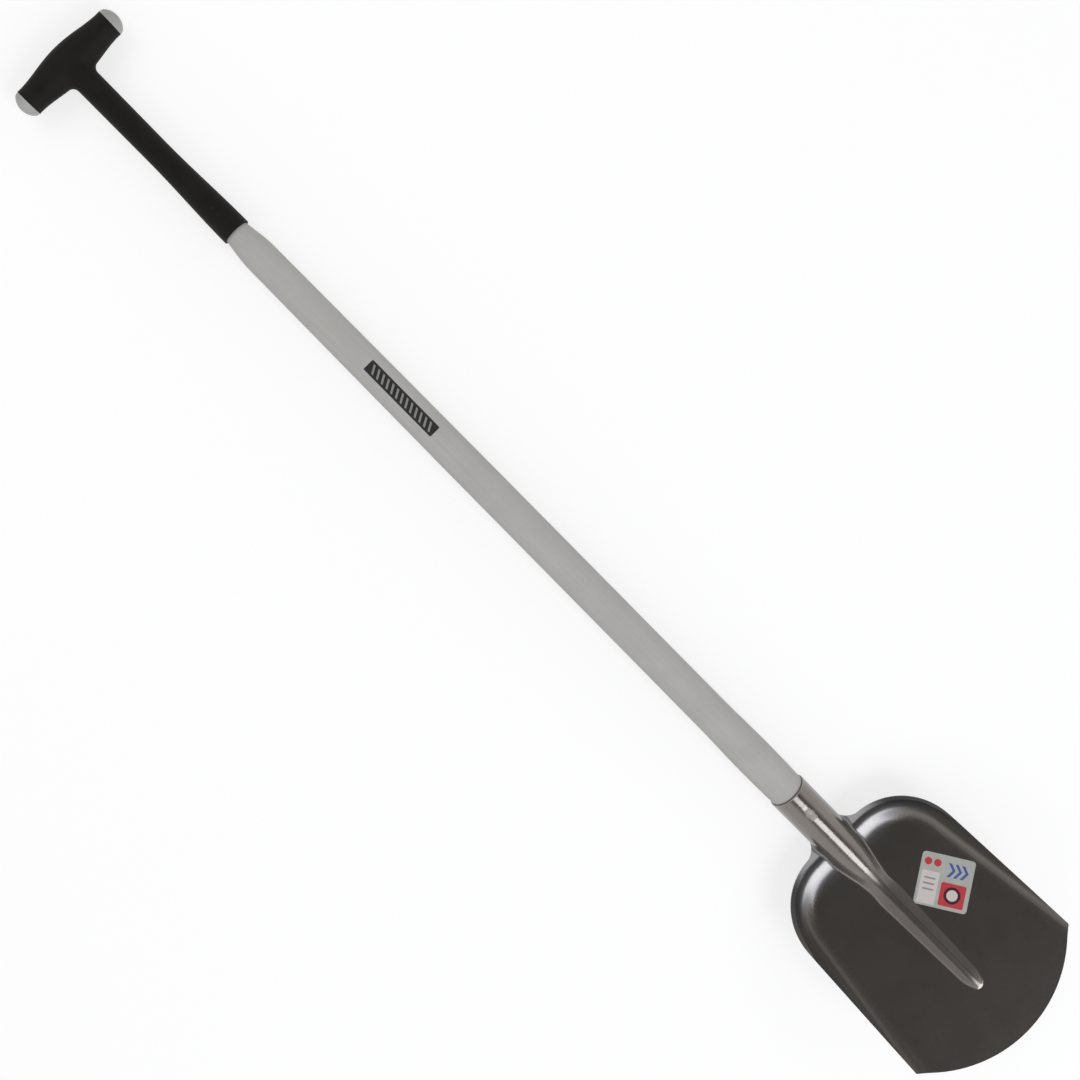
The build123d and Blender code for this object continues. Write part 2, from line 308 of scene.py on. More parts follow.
class Effects:
    """Shader groups that the finishes place with their own values, each built once."""

    CLOUD = Layers(4.0, 0.55)
    FINE = Layers(2.0, 0.5)
    STREAKS = Layers(3.0, 0.6)
    STREAK_RANGE: Pair = (0.3, 0.72)
    SPECK_EDGE: Pair = (0.1, 0.35)

    def __init__(self) -> None:
        """Builds every group."""
        self.mottle = self._mottle()
        self.grain = self._grain()
        self.specks = self._specks()
        self.plate = self._plate()
        self.bars = self._bars()

    @staticmethod
    def _start(name: str, inputs: tuple[str, ...], outputs: tuple[str, ...]) -> GroupStart:
        """Starts a group with float sockets and a vector input.

        Args:
            name: The group's name.
            inputs: Names of its float inputs.
            outputs: Names of its float outputs.

        Returns:
            The graph, its input sockets by name, and the output node.
        """
        tree = bpy.data.node_groups.new(name, "ShaderNodeTree")
        tree.interface.new_socket("Vector", in_out="INPUT", socket_type="NodeSocketVector")
        for label in inputs:
            tree.interface.new_socket(label, in_out="INPUT", socket_type="NodeSocketFloat")
        for label in outputs:
            tree.interface.new_socket(label, in_out="OUTPUT", socket_type="NodeSocketFloat")
        graph = Graph(tree)
        entry = graph.node("NodeGroupInput")
        leave = graph.node("NodeGroupOutput")
        return graph, {socket.name: socket for socket in entry.outputs}, leave

    def _mottle(self) -> bpy.types.NodeTree:
        """Builds soft cloudy change over a surface, coarse and fine.

        Returns:
            The group, with outputs Cloud and Fine.
        """
        graph, given, leave = self._start("surface_mottle", ("Scale", "Fine Scale"), ("Cloud", "Fine"))
        cloud = graph.noise(given["Vector"], given["Scale"], self.CLOUD)
        fine = graph.noise(given["Vector"], given["Fine Scale"], self.FINE)
        graph.put(leave.inputs["Cloud"], graph.span(cloud, *USUAL_NOISE))
        graph.put(leave.inputs["Fine"], fine)
        return graph.tree

    def _grain(self) -> bpy.types.NodeTree:
        """Builds streaks along the object's length, for wood.

        Returns:
            The group, with outputs Streak and Height.
        """
        graph, given, leave = self._start("long_grain", ("Scale", "Stretch"), ("Streak", "Height"))
        stretched = graph.node("ShaderNodeVectorMath", operation="MULTIPLY")
        graph.put(stretched.inputs[0], given["Vector"])
        graph.put(stretched.inputs[1], graph.join(given["Stretch"], 1.0, 1.0))
        wide = graph.noise(stretched.outputs["Vector"], given["Scale"], self.STREAKS)
        graph.put(leave.inputs["Streak"], graph.span(wide, *self.STREAK_RANGE))
        graph.put(leave.inputs["Height"], wide)
        return graph.tree

    def _specks(self) -> bpy.types.NodeTree:
        """Builds scattered small marks.

        Returns:
            The group, with output Mask.
        """
        graph, given, leave = self._start("fine_specks", ("Scale", "Share"), ("Mask",))
        cells = graph.node("ShaderNodeTexVoronoi")
        graph.put(cells.inputs["Vector"], given["Vector"])
        graph.put(cells.inputs["Scale"], given["Scale"])
        pick = graph.node("ShaderNodeSeparateColor")
        graph.put(pick.inputs[0], cells.outputs["Color"])
        chosen = graph.math(Blend.LESS, pick.outputs[0], given["Share"])
        near = graph.span(cells.outputs["Distance"], *self.SPECK_EDGE, 1.0, 0.0)
        graph.put(leave.inputs["Mask"], graph.times(chosen, near))
        return graph.tree

    def _plate(self) -> bpy.types.NodeTree:
        """Builds a flat outline with round corners, in millimetres.

        Returns:
            The group, with output Mask.
        """
        sizes = ("Middle X", "Middle Y", "Half X", "Half Y", "Corner", "Soft")
        graph, given, leave = self._start("rounded_plate", sizes, ("Mask",))
        squares = []
        for axis, value in zip("XY", graph.axes(given["Vector"])):
            away = graph.unsigned(graph.minus(value, given[f"Middle {axis}"]))
            core = graph.minus(given[f"Half {axis}"], given["Corner"])
            past = graph.larger(graph.minus(away, core), 0.0)
            squares.append(graph.times(past, past))
        gap = graph.math(Blend.ROOT, graph.plus(*squares))
        low = graph.minus(given["Corner"], given["Soft"])
        high = graph.plus(given["Corner"], given["Soft"])
        graph.put(leave.inputs["Mask"], graph.span(gap, low, high, 1.0, 0.0))
        return graph.tree

    def _bars(self) -> bpy.types.NodeTree:
        """Builds a row of slanted bars, in millimetres.

        Returns:
            The group, with output Mask.
        """
        sizes = ("Pitch", "Bar", "Slope", "Soft")
        graph, given, leave = self._start("slanted_bars", sizes, ("Mask",))
        along, across, _ = graph.axes(given["Vector"])
        slanted = graph.plus(along, graph.times(across, given["Slope"]))
        wave = graph.math(Blend.PINGPONG, slanted, graph.half(given["Pitch"]))
        edge = graph.half(given["Bar"])
        low = graph.minus(edge, given["Soft"])
        high = graph.plus(edge, given["Soft"])
        graph.put(leave.inputs["Mask"], graph.span(wave, low, high, 1.0, 0.0))
        return graph.tree


@dataclass(frozen=True)
class Texture:
    """Fineness of the cloudy and of the fine change over a finish."""

    cloud: float
    fine: float


@dataclass(frozen=True)
class Grain:
    """Long streaks: their fineness across the piece, and its share along the piece."""

    fineness: float
    stretch: float


@dataclass(frozen=True)
class Specks:
    """Scattered small marks: their fineness, and the share of the spots that have one."""

    fineness: float
    share: float


@dataclass(frozen=True)
class Relief:
    """Fine relief of a finish: its strength, and its depth in metres."""

    strength: float
    depth: float


@dataclass(frozen=True)
class Plate:
    """A flat outline with round corners, in millimetres."""

    half: Pair
    corner: float
    middle: Pair = (0.0, 0.0)
    soft: float = PRINT_EDGE

    @classmethod
    def disc(cls, radius: float, middle: Pair) -> "Plate":
        """Gives a disc, whose corners take up its whole width."""
        return cls((radius, radius), radius, middle)

    @classmethod
    def from_top(cls, top: float, half: float, corner: float, soft: float) -> "Plate":
        """Gives an outline that starts at its top and runs off past the tip of the blade."""
        return cls((PAST_TIP, half), corner, (top + PAST_TIP, 0.0), soft)


@dataclass(frozen=True)
class Hatch:
    """A row of bars: their pitch and width in millimetres, and their slope."""

    pitch: float
    bar: float
    slope: float = 0.0
    soft: float = PRINT_EDGE


class Finish:
    """A material being put together: its graph, its shader and the shared effects."""

    def __init__(self, name: str, effects: Effects) -> None:
        """Starts a material.

        Args:
            name: The material's name.
            effects: The shared groups.
        """
        self.material = bpy.data.materials.new(name)
        self.material.use_nodes = True
        self.graph = Graph(self.material.node_tree)
        self.effects = effects
        self.shader = self.material.node_tree.nodes["Principled BSDF"]

    def set(self, **values: Source) -> None:
        """Sets the shader's inputs.

        Args:
            values: Values or sockets by input name, with spaces as underscores.
        """
        self.graph.fill(self.shader, spaced(values))

    def mottle(self, spot: Socket, texture: Texture) -> tuple[Socket, Socket]:
        """Places the cloudy and the fine change.

        Args:
            spot: Place on the object.
            texture: Their fineness.

        Returns:
            The sockets of the cloudy and of the fine change.
        """
        scales = {"Scale": texture.cloud, "Fine_Scale": texture.fine}
        made = self.graph.group(self.effects.mottle, Vector=spot, **scales)
        return made.outputs["Cloud"], made.outputs["Fine"]

    def grain(self, spot: Socket, grain: Grain) -> tuple[Socket, Socket]:
        """Places the long streaks.

        Args:
            spot: Place on the object.
            grain: The streaks.

        Returns:
            The sockets of the streaks' mask and of their height.
        """
        scales = {"Scale": grain.fineness, "Stretch": grain.stretch}
        made = self.graph.group(self.effects.grain, Vector=spot, **scales)
        return made.outputs["Streak"], made.outputs["Height"]

    def specks(self, spot: Socket, specks: Specks) -> Socket:
        """Places the small marks.

        Args:
            spot: Place on the object.
            specks: The marks.

        Returns:
            Their mask.
        """
        scales = {"Scale": specks.fineness, "Share": specks.share}
        return self.graph.group(self.effects.specks, Vector=spot, **scales).outputs["Mask"]

    def plate(self, local: Socket, plate: Plate) -> Socket:
        """Places a flat outline.

        Args:
            local: Place on the flat in millimetres.
            plate: The outline.

        Returns:
            The mask of what lies inside.
        """
        sizes = {
            "Middle_X": plate.middle[0],
            "Middle_Y": plate.middle[1],
            "Half_X": plate.half[0],
            "Half_Y": plate.half[1],
            "Corner": plate.corner,
            "Soft": plate.soft,
        }
        return self.graph.group(self.effects.plate, Vector=local, **sizes).outputs["Mask"]

    def hatch(self, local: Socket, hatch: Hatch) -> Socket:
        """Places a row of bars.

        Args:
            local: Place on the flat in millimetres.
            hatch: The bars.

        Returns:
            Their mask.
        """
        sizes = {"Pitch": hatch.pitch, "Bar": hatch.bar, "Slope": hatch.slope, "Soft": hatch.soft}
        return self.graph.group(self.effects.bars, Vector=local, **sizes).outputs["Mask"]

    def above(self, local: Socket) -> Socket:
        """Masks what lies above a place's zero, on the front of the tool."""
        _, _, height = self.graph.axes(local)
        return self.graph.math(Blend.GREATER, height, 0.0)

    def sheen(self, fine: Socket, level: float, spread: Pair, noise: Pair) -> None:
        """Sets a roughness that the fine change lowers and raises.

        Args:
            fine: The fine change.
            level: The roughness.
            spread: Its change at the low and at the high end.
            noise: The part of the fine change's range that is used.
        """
        low, high = spread
        self.set(Roughness=self.graph.span(fine, *noise, level + low, level + high))

    def bump(self, height: Socket, relief: Relief) -> None:
        """Feeds a height into the shader's normal.

        Args:
            height: The height's socket.
            relief: Its strength and depth.
        """
        made = self.graph.node("ShaderNodeBump")
        sizes = {"Strength": relief.strength, "Distance": relief.depth}
        self.graph.fill(made, {"Height": height, **sizes})
        self.set(Normal=made.outputs["Normal"])


def toned(colour: Colour, share: float, lift: float = 0.0) -> Colour:
    """Gives a lighter or darker tone of a colour.

    Args:
        colour: The colour.
        share: What it is multiplied by.
        lift: What is added.

    Returns:
        The tone.
    """
    return tuple(value * share + lift for value in colour)


@dataclass(frozen=True)
class BladePlan:
    """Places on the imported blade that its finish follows.

    The heel, the bare edge from the mouth, and the places of the shoulders and the ridge along and
    across the tool are in metres, and the slope is in degrees. The dressed patch is in millimetres from
    the nail, and the pan, the sides, the lip and the ridge's foot are in millimetres along, across and
    above the flat of the blade, from its heel.
    """

    heel: Point = (0.39004, 0.0, 0.01709)
    slope: float = 15.425
    patch: Plate = Plate(half=(7.4, 3.9), corner=1.8, soft=0.8)
    bare_edge: Pair = (0.0007, 0.0019)
    shoulder_start: Pair = (0.016, 0.024)
    shoulder_end: Pair = (0.446, 0.424)
    ridge_side: Pair = (0.017, 0.010)
    ridge_start: Pair = (0.438, 0.454)
    ridge_foot: Pair = (0.4, 1.6)
    pan: Plate = Plate.from_top(top=33.75, half=83.6, corner=50.0, soft=9.0)
    side_start: Pair = (58.0, 84.0)
    side_spread: float = 0.14
    lip: Plate = Plate.from_top(top=17.0, half=100.35, corner=66.75, soft=1.5)
    lip_start: Pair = (48.0, 74.0)
    lip_end: Pair = (95.0, 70.0)

    def pan_shoulder(self) -> float:
        """Gives where the pan's round shoulders end and its sides start."""
        return self.pan.middle[0] - self.pan.half[0] + self.pan.corner


@dataclass(frozen=True)
class SteelZones:
    """Masks of the places where the steel differs from its plain lacquer."""

    patch: Socket
    bare: Socket
    shoulders: Socket
    drawn: Socket
    # Painted shade on the lip and on the rim along the sides.
    painted_shade: Socket
    ridge: Socket


@dataclass(frozen=True)
class LacqueredSteel:
    """Dark pressed steel under a clear coat.

    It has a dull dressed patch round the nail, and a bare cut edge at the mouth whose paler colour also
    paints out the shade round the mouth as a light line. It has a duller drawn stretch on the
    shoulders, the rim and the ridge, a cooler tint on the shoulders that paints their highlight cooler,
    and painted shade on the lip, on the rim along the sides and on the ridge.
    """

    plan: BladePlan
    mouth: float
    patch_place: Point
    name: str = "dark_lacquered_steel"
    pale: Colour = (0.252, 0.228, 0.208)
    dark: Colour = (0.222, 0.200, 0.182)
    dull: Colour = (0.335, 0.293, 0.285)
    # A cooler tint on the shoulders, which paints their highlight cooler.
    cool_highlight_tint: Colour = (0.225, 0.218, 0.222)
    # Paler bare steel at the mouth's cut edge, which also paints out the shade round the mouth as a
    # light line.
    bare: Colour = (0.30, 0.285, 0.27)
    texture: Texture = Texture(18.0, 520.0)
    specks: Specks = Specks(260.0, 0.05)
    speck_share: float = 0.25
    # Painted shade: how far the rim along the sides and the lip are darkened towards black.
    side_painted_shade: float = 0.33
    lip_painted_shade: float = 0.65
    # Painted shade on the ridge: how far it is darkened towards black.
    ridge_painted_shade: float = 0.22
    roughness: float = 0.18
    drawn_roughness: float = 0.31
    ridge_roughness: float = 0.32
    dull_roughness: float = 0.5
    bare_roughness: float = 0.4
    rough_spread: Pair = (-0.012, 0.018)
    coat: float = 0.3
    coat_roughness: float = 0.12
    relief: Relief = Relief(0.005, 0.0002)

    def build(self, effects: Effects) -> bpy.types.Material:
        """Makes the material.

        Args:
            effects: The shared groups.

        Returns:
            The material.
        """
        finish = Finish(self.name, effects)
        graph = finish.graph
        spot = graph.place()
        cloud, fine = finish.mottle(spot, self.texture)
        zones = self._zones(finish, spot)
        uncoated = graph.larger(zones.patch, zones.bare)
        finish.set(
            Base_Color=self._colour(finish, spot, cloud, zones),
            Metallic=1.0,
            Roughness=self._roughness(graph, fine, zones),
            Coat_Weight=graph.fade(uncoated, self.coat, 0.0),
            Coat_Roughness=self.coat_roughness,
        )
        finish.bump(fine, self.relief)
        return finish.material

    def _zones(self, finish: Finish, spot: Socket) -> SteelZones:
        """Masks the places that differ.

        Args:
            finish: The material being made.
            spot: Place on the object.

        Returns:
            The masks.
        """
        plan = self.plan
        graph = finish.graph
        local = graph.place(self.patch_place, unit=MILLIMETRES)
        patch = graph.times(finish.plate(local, plan.patch), finish.above(local))
        along, across, _ = graph.axes(spot)
        across = graph.unsigned(across)
        edge_start, edge_end = plan.bare_edge
        bare = graph.span(along, self.mouth + edge_start, self.mouth + edge_end, 1.0, 0.0)
        beside = graph.span(across, *plan.shoulder_start)
        shoulders = graph.times(beside, graph.span(along, *plan.shoulder_end))
        flat = graph.place(plan.heel, (0.0, -plan.slope, 0.0), MILLIMETRES)
        flat_along, flat_across, flat_height = graph.axes(flat)
        flat_across = graph.unsigned(flat_across)
        ridge = graph.times(
            graph.span(across, *plan.ridge_side),
            graph.span(along, *plan.ridge_start),
            graph.span(flat_height, *plan.ridge_foot),
        )
        # Painted shade on the lip, which darkens its reflection of the pale surroundings.
        lip = graph.times(
            self._outside(finish, flat, plan.lip),
            graph.span(flat_across, *plan.lip_start, 0.0, self.lip_painted_shade),
            graph.span(flat_along, *plan.lip_end),
        )
        past = graph.larger(graph.minus(flat_along, plan.pan_shoulder()), 0.0)
        straight = graph.minus(flat_across, graph.times(past, plan.side_spread))
        rim = self._outside(finish, graph.join(flat_along, straight, 0.0), plan.pan)
        # Painted shade on the rim along the sides, which darkens its light reflected band.
        side = graph.times(rim, graph.span(flat_across, *plan.side_start, 0.0, self.side_painted_shade))
        drawn = graph.larger(shoulders, graph.times(beside, rim))
        painted_shade = graph.larger(lip, side)
        return SteelZones(patch, bare, shoulders, drawn, painted_shade, ridge)

    @staticmethod
    def _outside(finish: Finish, flat: Socket, plate: Plate) -> Socket:
        """Masks what lies outside an outline on the flat of the blade."""
        return finish.graph.minus(1.0, finish.plate(flat, plate))

    def _colour(self, finish: Finish, spot: Socket, cloud: Socket, zones: SteelZones) -> Socket:
        """Mixes the colour.

        Args:
            finish: The material being made.
            spot: Place on the object.
            cloud: The cloudy change.
            zones: The places that differ.

        Returns:
            The colour's socket.
        """
        graph = finish.graph
        specks = graph.times(finish.specks(spot, self.specks), self.speck_share)
        lacquer = graph.mix(cloud, self.dark, self.pale)
        lacquer = graph.mix(specks, lacquer, self.dull)
        # Cooler tint on the shoulders, which paints the highlight there cooler.
        lacquer = graph.mix(zones.shoulders, lacquer, self.cool_highlight_tint)
        # Painted shade: the lip and the rim of the sides are darkened towards black.
        lacquer = graph.mix(zones.painted_shade, lacquer, BLACK)
        # Painted shade on the ridge, which darkens the reflection on its flanks.
        lacquer = graph.mix(graph.times(zones.ridge, self.ridge_painted_shade), lacquer, BLACK)
        dressed = graph.mix(zones.patch, lacquer, self.dull)
        # Bare cut edge at the mouth, paler, which also paints out the shade there as a light line.
        return graph.mix(zones.bare, dressed, self.bare)

    def _roughness(self, graph: Graph, fine: Socket, zones: SteelZones) -> Socket:
        """Works out the roughness.

        Args:
            graph: The material's graph.
            fine: The fine change.
            zones: The places that differ.

        Returns:
            The roughness's socket.
        """
        rough = graph.fade(zones.drawn, self.roughness, self.drawn_roughness)
        rough = graph.fade(zones.ridge, rough, self.ridge_roughness)
        rough = graph.plus(rough, graph.span(fine, *USUAL_NOISE, *self.rough_spread))
        rough = graph.fade(zones.patch, rough, self.dull_roughness)
        return graph.fade(zones.bare, rough, self.bare_roughness)


@dataclass(frozen=True)
class GreyCoat:
    """Matt grey coat over straight-grained ash, with a printed strip, and bare wood inside the socket.

    The strip's place and where the wood is bare are in metres, the hatch's inset and corner in
    millimetres.
    """

    strip_place: Point
    strip: Plate
    bare_from: float
    name: str = "matt_grey_coat"
    pale: Colour = (0.57, 0.56, 0.54)
    dark: Colour = (0.515, 0.505, 0.485)
    ink: Colour = (0.018, 0.018, 0.018)
    bar: Colour = (0.30, 0.30, 0.295)
    ash_pale: Colour = (0.60, 0.46, 0.30)
    ash_dark: Colour = (0.44, 0.30, 0.17)
    texture: Texture = Texture(30.0, 900.0)
    grain: Grain = Grain(420.0, 0.02)
    hatch: Hatch = Hatch(6.2, 2.3, 0.55)
    hatch_inset: Pair = (4.0, 2.2)
    hatch_corner: float = 0.3
    bare_fade: float = 0.002
    roughness: float = 0.6
    rough_spread: Pair = (-0.08, 0.08)
    relief: Relief = Relief(0.25, 0.0003)

    def build(self, effects: Effects) -> bpy.types.Material:
        """Makes the material.

        Args:
            effects: The shared groups.

        Returns:
            The material.
        """
        finish = Finish(self.name, effects)
        graph = finish.graph
        spot = graph.place()
        streak, height = finish.grain(spot, self.grain)
        cloud, fine = finish.mottle(spot, self.texture)
        coat = graph.mix(graph.half(graph.plus(streak, cloud)), self.dark, self.pale)
        ash = graph.mix(streak, self.ash_dark, self.ash_pale)
        along, _, _ = graph.axes(spot)
        bare = graph.span(along, self.bare_from, self.bare_from + self.bare_fade)
        finish.set(Base_Color=graph.mix(bare, self._print(finish, coat), ash))
        finish.sheen(fine, self.roughness, self.rough_spread, WIDE_NOISE)
        finish.bump(height, self.relief)
        return finish.material

    def _print(self, finish: Finish, coat: Socket) -> Socket:
        """Lays the printed strip over the coat.

        Args:
            finish: The material being made.
            coat: The coat's colour.

        Returns:
            The colour with the strip.
        """
        graph = finish.graph
        local = graph.place(self.strip_place, unit=MILLIMETRES)
        ground = graph.times(finish.plate(local, self.strip), finish.above(local))
        half = tuple(size - inset for size, inset in zip(self.strip.half, self.hatch_inset))
        field = finish.plate(local, Plate(half, self.hatch_corner))
        bars = graph.times(field, finish.hatch(local, self.hatch), ground)
        return graph.mix(bars, graph.mix(ground, coat, self.ink), self.bar)


@dataclass(frozen=True)
class Moulding:
    """Moulded plastic with a fine even texture and paler clouds and specks."""

    name: str
    colour: Colour
    roughness: float
    gloss: float
    texture: Texture = Texture(40.0, 1500.0)
    specks: Specks = Specks(700.0, 0.08)
    pale_share: float = 1.25
    pale_lift: float = 0.001
    rough_spread: Pair = (-0.06, 0.08)
    relief: Relief = Relief(0.12, 0.0003)

    def build(self, effects: Effects) -> bpy.types.Material:
        """Makes the material.

        Args:
            effects: The shared groups.

        Returns:
            The material.
        """
        finish = Finish(self.name, effects)
        graph = finish.graph
        spot = graph.place()
        cloud, fine = finish.mottle(spot, self.texture)
        worn = graph.larger(cloud, finish.specks(spot, self.specks))
        paler = toned(self.colour, self.pale_share, self.pale_lift)
        finish.set(Base_Color=graph.mix(worn, self.colour, paler), Specular_IOR_Level=self.gloss)
        finish.sheen(fine, self.roughness, self.rough_spread, WIDE_NOISE)
        finish.bump(fine, self.relief)
        return finish.material


@dataclass(frozen=True)
class PlainSteel:
    """Plain steel of the nail and the pin, with darker clouds."""

    name: str
    colour: Colour = (0.37, 0.335, 0.325)
    roughness: float = 0.45
    texture: Texture = Texture(200.0, 1800.0)
    dark_share: float = 0.7
    rough_spread: Pair = (-0.05, 0.1)
    relief: Relief = Relief(0.1, 0.0002)

    def build(self, effects: Effects) -> bpy.types.Material:
        """Makes the material.

        Args:
            effects: The shared groups.

        Returns:
            The material.
        """
        finish = Finish(self.name, effects)
        graph = finish.graph
        cloud, fine = finish.mottle(graph.place(), self.texture)
        darker = toned(self.colour, self.dark_share)
        finish.set(Base_Color=graph.mix(cloud, darker, self.colour), Metallic=1.0)
        finish.sheen(fine, self.roughness, self.rough_spread, USUAL_NOISE)
        finish.bump(fine, self.relief)
        return finish.material


class Ink(Enum):
    """Colours of the label's print."""

    PALE = (0.78, 0.72, 0.72)
    RED = (0.66, 0.05, 0.06)
    BLUE = (0.08, 0.13, 0.42)
    PLUM = (0.05, 0.012, 0.03)
    RULE = (0.36, 0.33, 0.33)


@dataclass(frozen=True)
class Motif:
    """One plate of the label's print, placed from the label's middle."""

    ink: Ink
    plate: Plate


@dataclass(frozen=True)
class LabelFilm:
    """Silver-grey film printed with plain panels, discs, rules and chevrons."""

    middle: Point
    lie: Point
    name: str = "printed_label_film"
    ground: Colour = (0.50, 0.515, 0.48)
    texture: Texture = Texture(90.0, 1200.0)
    pale_share: float = 1.1
    roughness: float = 0.4
    rough_spread: Pair = (-0.05, 0.05)
    motifs: tuple[Motif, ...] = (
        Motif(Ink.PALE, Plate((9.5, 17.5), 1.0, (-16.5, -8.5))),
        Motif(Ink.RULE, Plate((6.0, 0.9), 0.4, (-16.5, 1.5))),
        Motif(Ink.RULE, Plate((6.0, 0.9), 0.4, (-16.5, -4.5))),
        Motif(Ink.RULE, Plate((6.0, 0.9), 0.4, (-16.5, -10.5))),
        Motif(Ink.RED, Plate.disc(4.0, (-21.5, 19.0))),
        Motif(Ink.RED, Plate.disc(4.0, (-11.5, 19.0))),
        Motif(Ink.RED, Plate((13.5, 12.5), 2.0, (10.0, -12.0))),
        Motif(Ink.PLUM, Plate.disc(9.0, (10.0, -12.0))),
        Motif(Ink.PALE, Plate.disc(6.0, (10.0, -12.0))),
    )
    chevrons: Motif = Motif(Ink.BLUE, Plate((10.5, 7.5), 0.5, (14.0, 14.0)))
    chevron_bars: Hatch = Hatch(7.0, 3.4)
    chevron_slope: float = 0.7

    def build(self, effects: Effects) -> bpy.types.Material:
        """Makes the material.

        Args:
            effects: The shared groups.

        Returns:
            The material.
        """
        finish = Finish(self.name, effects)
        graph = finish.graph
        cloud, fine = finish.mottle(graph.place(), self.texture)
        colour = graph.mix(cloud, self.ground, toned(self.ground, self.pale_share))
        local = graph.place(self.middle, self.lie, MILLIMETRES)
        for motif in self.motifs:
            colour = graph.mix(finish.plate(local, motif.plate), colour, motif.ink.value)
        shown = self._chevrons(finish, local)
        finish.set(Base_Color=graph.mix(shown, colour, self.chevrons.ink.value))
        finish.sheen(fine, self.roughness, self.rough_spread, USUAL_NOISE)
        return finish.material

    def _chevrons(self, finish: Finish, local: Socket) -> Socket:
        """Folds a row of bars into chevrons.

        Args:
            finish: The material being made.
            local: Place on the label in millimetres.

        Returns:
            The chevrons' mask.
        """
        graph = finish.graph
        along, across, _ = graph.axes(local)
        folded = graph.unsigned(graph.minus(across, self.chevrons.plate.middle[1]))
        slanted = graph.plus(along, graph.times(folded, self.chevron_slope))
        bars = finish.hatch(graph.join(slanted, 0.0, 0.0), self.chevron_bars)
        panel = finish.plate(graph.join(slanted, across, 0.0), self.chevrons.plate)
        return graph.times(panel, bars)


@dataclass(frozen=True)
class SoftBox:
    """A flat soft lamp: its place, aim, width and height in metres, brightness and tint."""

    name: str
    place: Point
    aim: Point
    size: Pair
    brightness: float
    tint: Colour = (1.0, 1.0, 1.0)

    def hang(self) -> None:
        """Adds the lamp, its long side upright."""
        width, height = self.size
        data = bpy.data.lights.new(self.name, "AREA")
        data.shape = "RECTANGLE"
        data.size = width
        data.size_y = height
        data.energy = self.brightness * math.pi * width * height
        data.color = self.tint
        lamp = bpy.data.objects.new(self.name, data)
        lamp.location = self.place
        back = Vector(self.place) - Vector(self.aim)
        lamp.rotation_euler = back.to_track_quat("Z", "Y").to_euler()
        bpy.context.scene.collection.objects.link(lamp)


